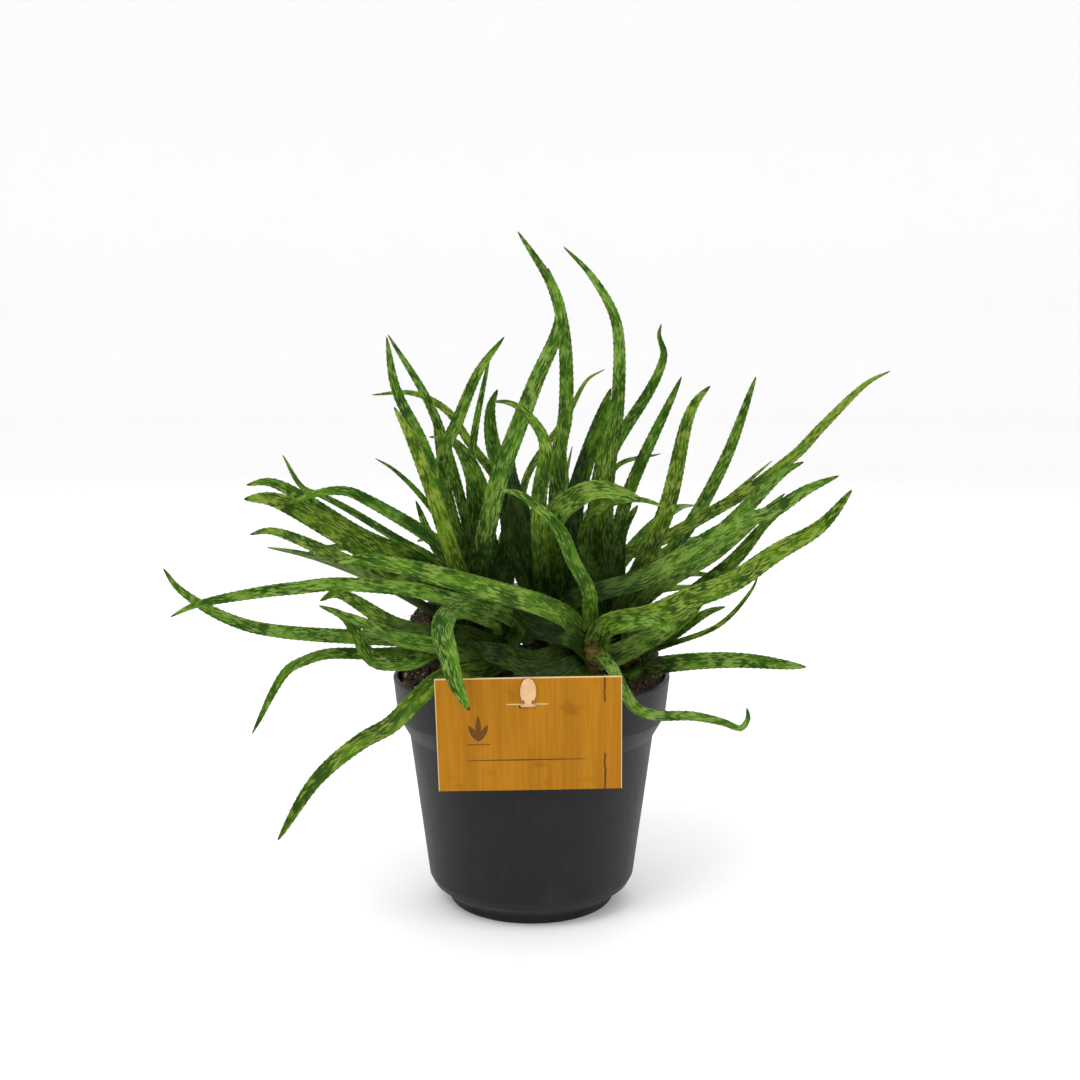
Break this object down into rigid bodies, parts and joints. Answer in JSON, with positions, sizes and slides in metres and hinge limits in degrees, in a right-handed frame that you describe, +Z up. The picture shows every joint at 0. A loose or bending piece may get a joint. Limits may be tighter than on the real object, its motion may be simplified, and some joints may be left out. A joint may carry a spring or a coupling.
{
  "type": "potted spider aloe",
  "caption": "Clump-forming succulent with long, narrow, toothed and mottled leaves, in a tapered round nursery pot of soil, with a blank card hung on a stake at the rim.",
  "frame": {"origin": "centre of the pot's flat base, on the surface that it stands on", "axes": "+Z up the pot's axis, -Y towards the front where the card hangs, +X to the right seen from the front"},
  "size_m": [0.3141, 0.2296, 0.2871],
  "materials": {
    "leaf": "waxy leaf, dark green with pale green flecks, small pale teeth and brown tips",
    "pot": "matte anthracite injection-moulded plastic",
    "soil": "dark peat potting soil with fibres and pale crumbs",
    "card": "printed card, golden-orange wood grain, satin",
    "stake": "thin translucent ivory plastic"
  },
  "bodies": {
    "root": {"pot": "pot", "soil": "soil", "shoot_front_right": "leaf", "shoot_front_left": "leaf", "shoot_left": "leaf", "shoot_middle": "leaf", "shoot_right": "leaf", "shoot_far_right": "leaf", "shoot_back_left": "leaf", "shoot_back_right": "leaf", "label_card": "card", "label_stake": "stake"}
  },
  "joints": []
}
